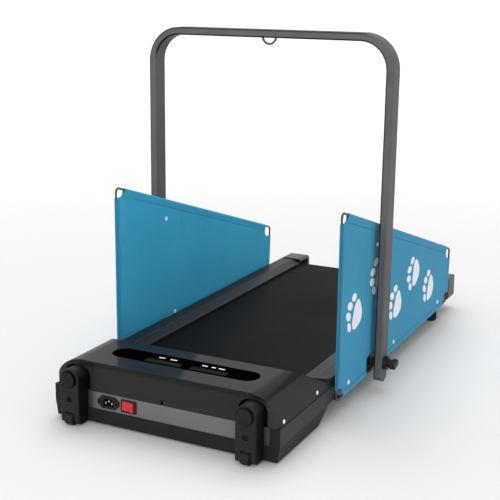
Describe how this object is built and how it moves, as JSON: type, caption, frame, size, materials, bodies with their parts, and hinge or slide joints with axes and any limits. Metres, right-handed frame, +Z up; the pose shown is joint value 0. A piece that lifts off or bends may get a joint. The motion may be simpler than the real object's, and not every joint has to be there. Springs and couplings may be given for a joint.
{
  "type": "dog treadmill",
  "caption": "Motor treadmill for dogs with a low belt deck, rounded motor hood with display, rod-framed fabric side panels and a folding leash arch.",
  "frame": {"origin": "middle of the footprint on the floor", "axes": "+X to the right seen from the front (the motor end), +Y to the rear (the step-on end), +Z up"},
  "size_m": [0.6336, 1.18, 0.7625],
  "materials": {
    "arch_grey": "satin powder coat",
    "frame_black": "satin powder coat",
    "rod_black": "satin paint",
    "plate_grey": "matt paint",
    "steel": "turned",
    "motor_steel": "turned",
    "motor_black": "satin paint",
    "pin_metal": "nickel plated",
    "sink_aluminium": "extruded",
    "deck_wood": "smooth board",
    "belt_black": "fine diamond grain",
    "drive_rubber": "matt",
    "foot_rubber": "matt",
    "rail_grey": "fine grain",
    "cap_grey": "fine grain",
    "tray_grey": "fine grain",
    "hood_gloss": "polished",
    "lens_black": "polished",
    "board_green": "satin",
    "black_plastic": "satin",
    "switch_red": "polished",
    "white_fastener": "polished",
    "leg_grey": "fine grain",
    "screw_black": "blackened",
    "panel_blue": "plain weave"
  },
  "bodies": {
    "base": {"left_side_tube": "frame_black", "right_side_tube": "frame_black", "cross_members": "frame_black", "deck_board": "deck_wood", "deck_cushions": "foot_rubber", "running_belt": "belt_black", "front_axle": "steel", "rear_axle": "steel", "tension_bolts": "steel", "left_rail": "rail_grey", "right_rail": "rail_grey", "left_end_cap": "cap_grey", "right_end_cap": "cap_grey", "rear_feet": "foot_rubber", "front_feet": "foot_rubber", "bottom_tray": "tray_grey", "motor_hood": "hood_gloss", "front_plate": "plate_grey", "display_lens": "lens_black", "display_board": "board_green", "motor_body": "motor_black", "motor_bracket": "motor_steel", "drive_belt": "drive_rubber", "control_board": "board_green", "heat_sink": "sink_aluminium", "power_inlet": "black_plastic", "inlet_pins": "pin_metal", "switch_bezel": "black_plastic", "hood_screws": "white_fastener", "left_bumper": "leg_grey", "right_bumper": "leg_grey", "stand_pads": "foot_rubber", "left_fork": "leg_grey", "right_fork": "leg_grey", "wheel_axles": "steel", "fork_screws": "screw_black", "left_bracket": "black_plastic", "right_bracket": "black_plastic", "pivot_bolts": "steel", "left_panel_frame": "rod_black", "right_panel_frame": "rod_black", "left_panel_cover": "panel_blue", "right_panel_cover": "panel_blue", "panel_snaps": "white_fastener", "panel_clips": "black_plastic"},
    "arch": {"arch_tube": "arch_grey", "arch_plugs": "cap_grey", "leash_ring": "arch_grey"},
    "left_knob": {"left_knob": "black_plastic"},
    "right_knob": {"right_knob": "black_plastic"},
    "front_roller": {"front_roller": "steel", "drive_pulley": "motor_steel"},
    "rear_roller": {"rear_roller": "steel"},
    "motor_rotor": {"motor_rotor": "motor_steel"},
    "left_wheel": {"left_wheel": "leg_grey"},
    "right_wheel": {"right_wheel": "leg_grey"},
    "switch_rocker": {"switch_rocker": "switch_red"}
  },
  "joints": [
    {"name": "arch_fold", "type": "hinge", "parent": "base", "child": "arch", "pos_m": [0, -0.1, 0.061], "axis": [-1, 0, 0], "range_deg": [0, 85]},
    {"name": "left_knob_turn", "type": "hinge", "parent": "base", "child": "left_knob", "pos_m": [-0.3, -0.1, 0.061], "axis": [1, 0, 0], "continuous": true},
    {"name": "right_knob_turn", "type": "hinge", "parent": "base", "child": "right_knob", "pos_m": [0.3, -0.1, 0.061], "axis": [1, 0, 0], "continuous": true},
    {"name": "front_roller_spin", "type": "hinge", "parent": "base", "child": "front_roller", "pos_m": [0, -0.385, 0.05305], "axis": [1, 0, 0], "continuous": true},
    {"name": "rear_roller_spin", "type": "hinge", "parent": "base", "child": "rear_roller", "pos_m": [0, 0.538, 0.05305], "axis": [1, 0, 0], "continuous": true},
    {"name": "motor_spin", "type": "hinge", "parent": "base", "child": "motor_rotor", "pos_m": [0.1, -0.482, 0.06], "axis": [1, 0, 0], "continuous": true},
    {"name": "left_wheel_spin", "type": "hinge", "parent": "base", "child": "left_wheel", "pos_m": [-0.195, -0.576, 0.013], "axis": [1, 0, 0], "continuous": true},
    {"name": "right_wheel_spin", "type": "hinge", "parent": "base", "child": "right_wheel", "pos_m": [0.195, -0.576, 0.013], "axis": [1, 0, 0], "continuous": true},
    {"name": "switch_rock", "type": "hinge", "parent": "base", "child": "switch_rocker", "pos_m": [-0.077, -0.544, 0.0505], "axis": [0, 0, 1], "range_deg": [0, 14]}
  ],
  "couplings": [
    {"joint": "rear_roller_spin", "follows": "front_roller_spin", "ratio": 1},
    {"joint": "motor_spin", "follows": "front_roller_spin", "ratio": 2}
  ]
}
